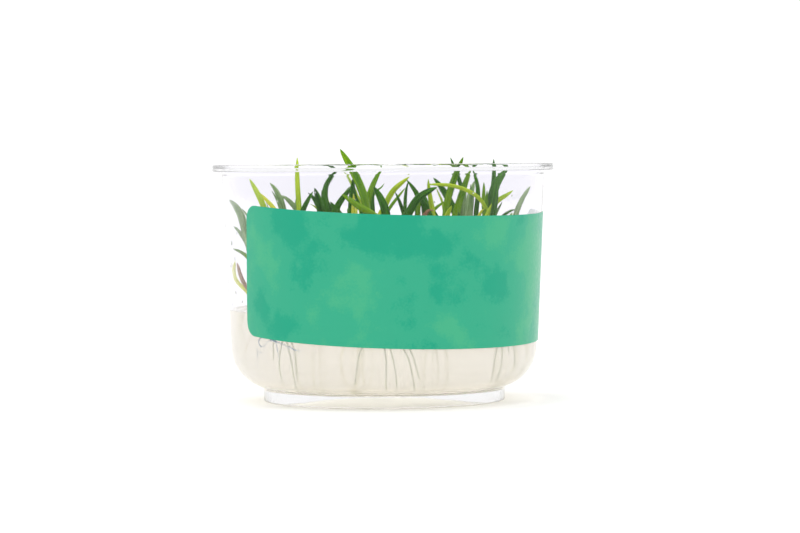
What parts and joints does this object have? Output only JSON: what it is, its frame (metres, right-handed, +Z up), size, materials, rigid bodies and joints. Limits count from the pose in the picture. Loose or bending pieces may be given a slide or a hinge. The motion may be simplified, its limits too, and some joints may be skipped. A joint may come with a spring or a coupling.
{
  "type": "tissue culture shoreweed plant cup",
  "caption": "Clear open plastic cup of shoreweed plantlets: narrow green leaves rising from crowns rooted in cream nutrient gel, with a blank green wrap label.",
  "frame": {"origin": "the middle of the foot ring, on the surface that the cup stands on", "axes": "+Z up, along the cup's axis; -Y is the front of the label; +X is to the right of someone who faces the front"},
  "size_m": [0.1016, 0.1016, 0.0749],
  "materials": {
    "clear_plastic": "clear, smooth moulded plastic",
    "gel": "cloudy cream set gel, wet surface",
    "label": "two greens in a soft wash, glossy",
    "crown": "pale green to beige, moist",
    "leaf_dark": "dark green leaf, satin",
    "leaf_mid": "mid green leaf, satin",
    "leaf_lime": "yellow-green young leaf, satin",
    "leaf_pale": "grey-green leaf, satin",
    "leaf_yellow": "yellowed leaf",
    "leaf_brown": "withered brown leaf"
  },
  "bodies": {
    "root": {"crown_back_left": "crown", "crown_back_right": "crown", "crown_front": "crown", "crown_front_left": "crown", "crown_front_right": "crown", "crown_left": "crown", "crown_middle": "crown", "crown_middle_left": "crown", "crown_right": "crown", "cup": "clear_plastic", "gel": "gel", "label": "label", "leaf_back_left_1": "leaf_lime", "leaf_back_left_2": "leaf_lime", "leaf_back_left_3": "leaf_mid", "leaf_back_left_4": "leaf_mid", "leaf_back_right_1": "leaf_dark", "leaf_back_right_2": "leaf_mid", "leaf_back_right_3": "leaf_mid", "leaf_back_right_4": "leaf_dark", "leaf_back_right_5": "leaf_pale", "leaf_back_right_6": "leaf_dark", "leaf_front_1": "leaf_mid", "leaf_front_2": "leaf_mid", "leaf_front_3": "leaf_dark", "leaf_front_4": "leaf_dark", "leaf_front_5": "leaf_mid", "leaf_front_6": "leaf_dark", "leaf_front_left_1": "leaf_lime", "leaf_front_left_2": "leaf_mid", "leaf_front_left_3": "leaf_dark", "leaf_front_left_4": "leaf_lime", "leaf_front_left_5": "leaf_pale", "leaf_front_left_6": "leaf_yellow", "leaf_front_right_1": "leaf_lime", "leaf_front_right_2": "leaf_dark", "leaf_front_right_3": "leaf_lime", "leaf_front_right_4": "leaf_dark", "leaf_front_right_5": "leaf_pale", "leaf_front_right_6": "leaf_dark", "leaf_left_1": "leaf_pale", "leaf_left_2": "leaf_mid", "leaf_left_3": "leaf_brown", "leaf_left_4": "leaf_mid", "leaf_left_5": "leaf_pale", "leaf_left_6": "leaf_yellow", "leaf_middle_1": "leaf_dark", "leaf_middle_2": "leaf_dark", "leaf_middle_3": "leaf_lime", "leaf_middle_4": "leaf_mid", "leaf_middle_5": "leaf_dark", "leaf_middle_6": "leaf_dark", "leaf_middle_left_1": "leaf_pale", "leaf_middle_left_2": "leaf_dark", "leaf_middle_left_3": "leaf_dark", "leaf_middle_left_4": "leaf_dark", "leaf_middle_left_5": "leaf_dark", "leaf_right_1": "leaf_mid", "leaf_right_2": "leaf_dark", "leaf_right_3": "leaf_mid"}
  },
  "joints": []
}
